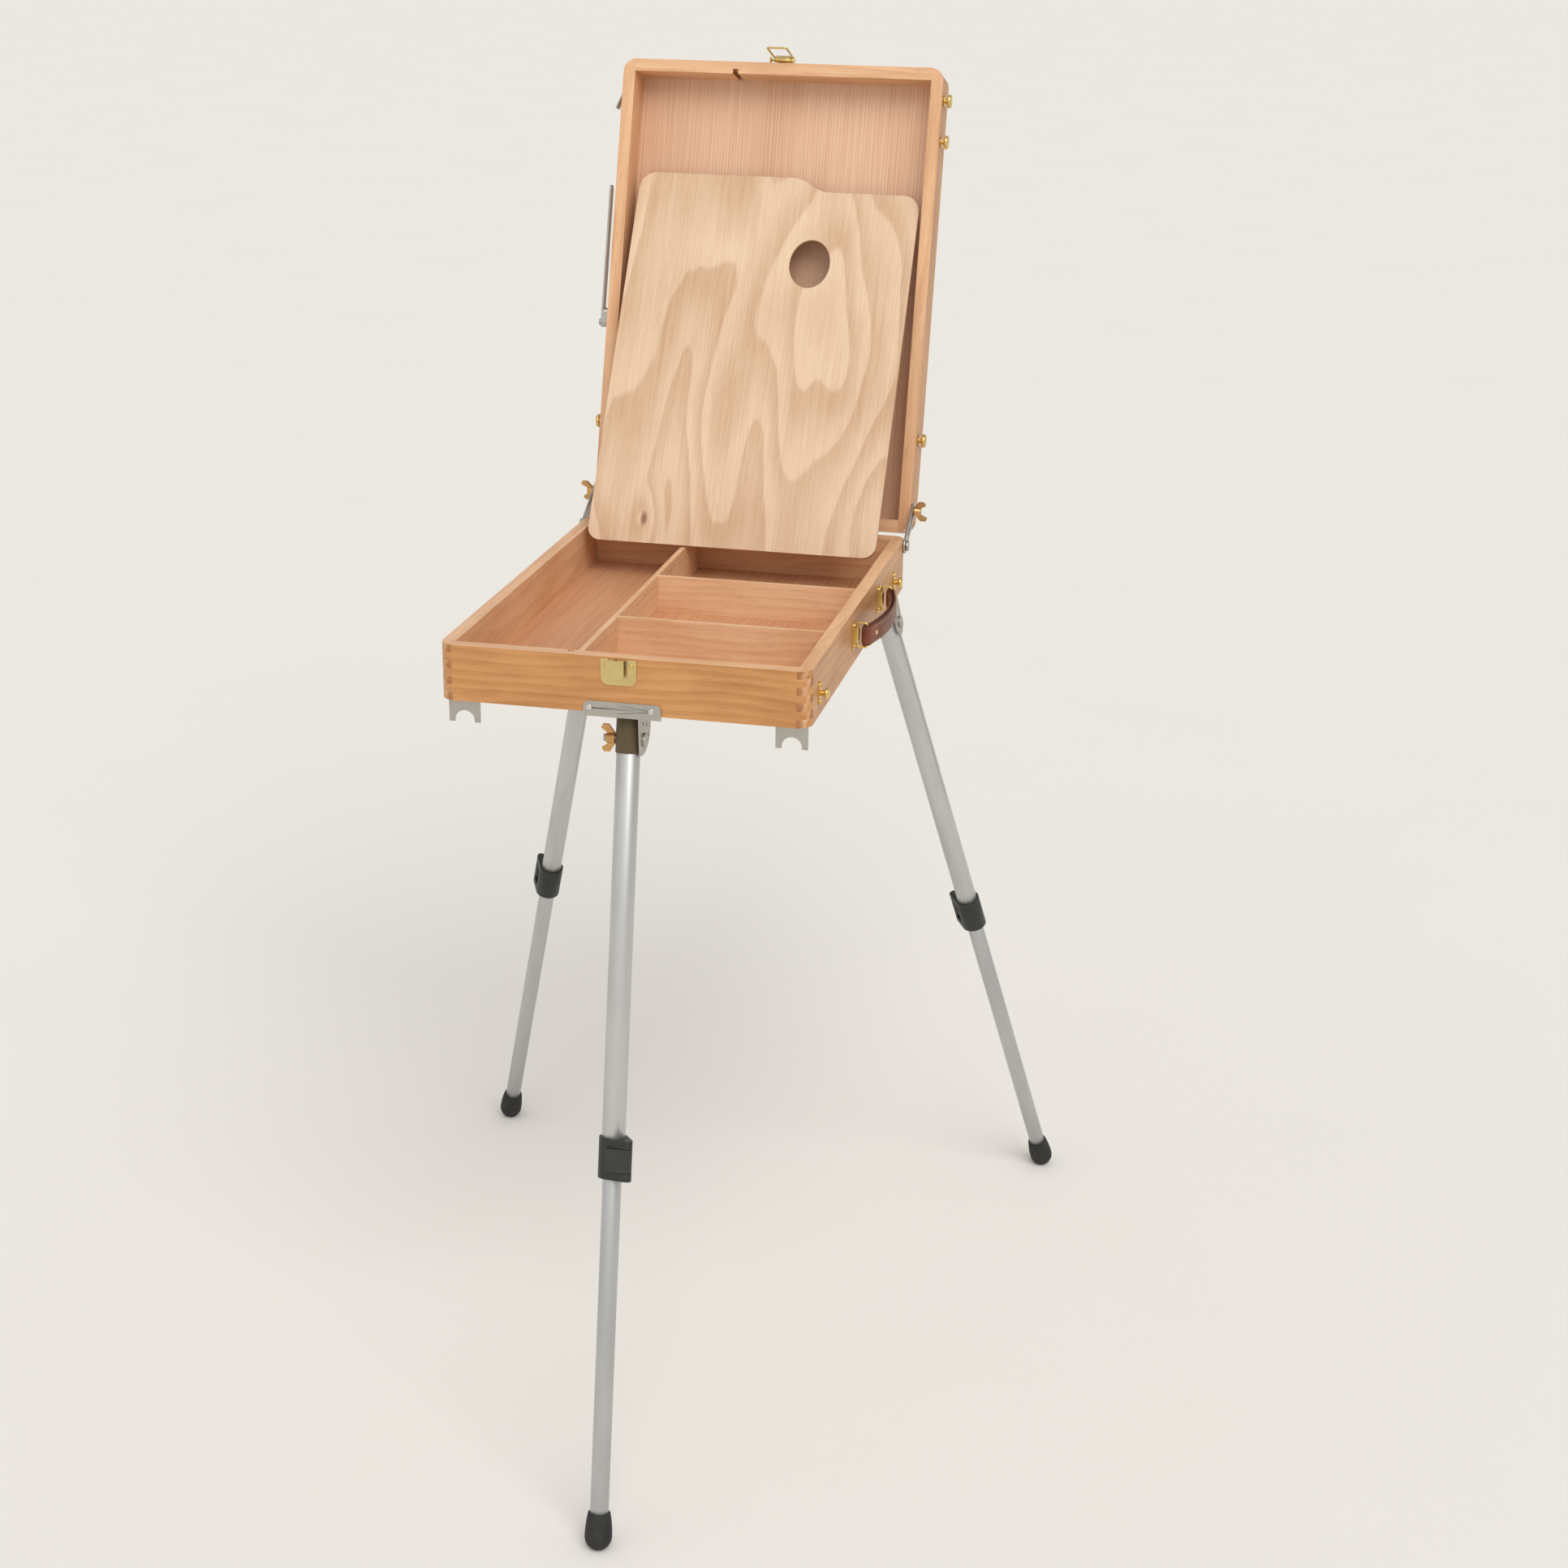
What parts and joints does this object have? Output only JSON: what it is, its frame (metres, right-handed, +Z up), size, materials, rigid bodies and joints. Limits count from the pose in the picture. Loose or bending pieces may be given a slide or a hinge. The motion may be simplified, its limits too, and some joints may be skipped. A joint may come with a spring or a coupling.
{
  "type": "box easel",
  "caption": "Wooden sketch-box easel with a divided tray, a lid that stands open as the canvas rest, a loose palette and telescopic folding legs.",
  "frame": {"origin": "on the floor, under the middle of the bounding box of the standing easel", "axes": "+X to the right across the box, +Y from the front of the tray towards the lid, +Z up"},
  "size_m": [0.5954, 0.7634, 1.1303],
  "materials": {
    "varnished_wood": "clear satin varnish",
    "plywood": "sanded veneer, thin varnish",
    "palette_ply": "sanded veneer, satin",
    "brass": "bright plated",
    "leather": "smooth, waxed",
    "zinc_steel": "dull zinc plate",
    "olive_plastic": "moulded",
    "aluminium": "satin anodised",
    "black_plastic": "moulded, slight sheen",
    "rubber": "matt"
  },
  "bodies": {
    "tray": {"tray_front": "varnished_wood", "tray_back": "varnished_wood", "tray_left": "varnished_wood", "tray_right": "varnished_wood", "tray_floor": "plywood", "long_divider": "varnished_wood", "cross_divider_front": "varnished_wood", "cross_divider_rear": "varnished_wood", "catch_plate": "brass", "tray_brass_screws": "brass", "bracket_screws": "zinc_steel", "stay_screws": "brass", "handle_plates": "brass", "handle_rings": "brass", "handle_strap": "leather", "stud_plates": "brass", "strap_studs": "brass", "front_leg_bracket": "zinc_steel", "rear_left_leg_bracket": "zinc_steel", "rear_right_leg_bracket": "zinc_steel", "leg_clips": "zinc_steel", "leg_bolts": "zinc_steel", "leg_wing_nuts": "brass"},
    "stays": {"stay_left": "zinc_steel", "stay_right": "zinc_steel"},
    "stay_bolts": {"stay_bolts": "brass", "stay_wing_nuts": "brass"},
    "lid": {"lid_bottom_wall": "varnished_wood", "lid_top_wall": "varnished_wood", "lid_left_wall": "varnished_wood", "lid_right_wall": "varnished_wood", "lid_panel": "plywood", "latch_base": "brass", "lid_screws": "brass", "canvas_washers": "brass", "canvas_knobs": "brass", "arm_screw": "zinc_steel", "canvas_clip": "zinc_steel"},
    "canvas_arm": {"canvas_arm": "zinc_steel"},
    "latch_lever": {"latch_lever": "brass"},
    "latch_bail": {"latch_bail": "brass"},
    "palette": {"palette": "palette_ply"},
    "front_leg": {"front_leg_socket": "olive_plastic", "front_upper_tube": "aluminium", "front_collar": "black_plastic"},
    "front_lever": {"front_clamp_lever": "black_plastic"},
    "front_lower": {"front_lower_tube": "aluminium", "front_foot": "rubber"},
    "rear_left_leg": {"rear_left_leg_plug": "olive_plastic", "rear_left_upper_tube": "aluminium", "rear_left_collar": "black_plastic"},
    "rear_left_lever": {"rear_left_clamp_lever": "black_plastic"},
    "rear_left_lower": {"rear_left_lower_tube": "aluminium", "rear_left_foot": "rubber"},
    "rear_right_leg": {"rear_right_leg_plug": "olive_plastic", "rear_right_upper_tube": "aluminium", "rear_right_collar": "black_plastic"},
    "rear_right_lever": {"rear_right_clamp_lever": "black_plastic"},
    "rear_right_lower": {"rear_right_lower_tube": "aluminium", "rear_right_foot": "rubber"}
  },
  "joints": [
    {"name": "stay_swing", "type": "hinge", "parent": "tray", "child": "stays", "pos_m": [0, 0.186, 0.708], "axis": [1, 0, 0], "range_deg": [0, 101.93]},
    {"name": "stay_slide", "type": "slide", "parent": "stays", "child": "stay_bolts", "axis": [0, 0.863, 0.5052], "range_m": [-0.02992, 0]},
    {"name": "lid_tilt", "type": "hinge", "parent": "stay_bolts", "child": "lid", "pos_m": [0, 0.22451, 0.73054], "axis": [1, 0, 0], "range_deg": [0, 4.72]},
    {"name": "palette_fold", "type": "hinge", "parent": "tray", "child": "palette", "pos_m": [0, 0.133, 0.7285], "axis": [1, 0, 0], "range_deg": [0, 124.1]},
    {"name": "canvas_arm_swing", "type": "hinge", "parent": "lid", "child": "canvas_arm", "pos_m": [-0.15, 0.27827, 0.87938], "axis": [1, 0, 0], "range_deg": [0, 90]},
    {"name": "latch_lever_flip", "type": "hinge", "parent": "lid", "child": "latch_lever", "pos_m": [-0.003, 0.34788, 1.11637], "axis": [1, 0, 0], "range_deg": [0, 100]},
    {"name": "latch_bail_swing", "type": "hinge", "parent": "latch_lever", "child": "latch_bail", "pos_m": [-0.003, 0.35463, 1.11801], "axis": [1, 0, 0], "range_deg": [-100.1, 0]},
    {"name": "front_leg_fold", "type": "hinge", "parent": "tray", "child": "front_leg", "pos_m": [0.0004, -0.207, 0.642], "axis": [0.9997, 0, 0.0226], "range_deg": [0, 104.53]},
    {"name": "front_leg_slide", "type": "slide", "parent": "front_leg", "child": "front_lower", "axis": [0.0219, -0.2509, -0.9678], "range_m": [-0.26, 0.01]},
    {"name": "front_lever_flip", "type": "hinge", "parent": "front_leg", "child": "front_lever", "pos_m": [0.01474, -0.21707, 0.64494], "axis": [-0.0219, 0.2509, 0.9678], "range_deg": [0, 100]},
    {"name": "rear_left_leg_fold", "type": "hinge", "parent": "tray", "child": "rear_left_leg", "pos_m": [-0.136, 0.171, 0.638], "axis": [-0.9714, -0.0024, 0.2376], "range_deg": [0, 106.61]},
    {"name": "rear_left_leg_slide", "type": "slide", "parent": "rear_left_leg", "child": "rear_left_lower", "axis": [-0.2303, 0.2561, -0.9388], "range_m": [-0.26, 0.01]},
    {"name": "rear_left_lever_flip", "type": "hinge", "parent": "rear_left_leg", "child": "rear_left_lever", "pos_m": [-0.14938, 0.18102, 0.64401], "axis": [0.2303, -0.2561, 0.9388], "range_deg": [0, 100]},
    {"name": "rear_right_leg_fold", "type": "hinge", "parent": "tray", "child": "rear_right_leg", "pos_m": [0.1395, 0.171, 0.638], "axis": [-0.9753, 0.0073, -0.2209], "range_deg": [0, 109.04]},
    {"name": "rear_right_leg_slide", "type": "slide", "parent": "rear_right_leg", "child": "rear_right_lower", "axis": [0.2131, 0.2958, -0.9312], "range_m": [-0.26, 0.01]},
    {"name": "rear_right_lever_flip", "type": "hinge", "parent": "rear_right_leg", "child": "rear_right_lever", "pos_m": [0.12485, 0.18104, 0.63784], "axis": [-0.2131, -0.2958, 0.9312], "range_deg": [0, 100]}
  ],
  "couplings": [
    {"joint": "stay_slide", "follows": "stay_swing", "m_per_rad": -0.016703},
    {"joint": "lid_tilt", "follows": "stay_swing", "ratio": 0.045792},
    {"joint": "palette_fold", "follows": "stay_swing", "ratio": 1.2165},
    {"joint": "latch_bail_swing", "follows": "latch_lever_flip", "ratio": -1}
  ]
}
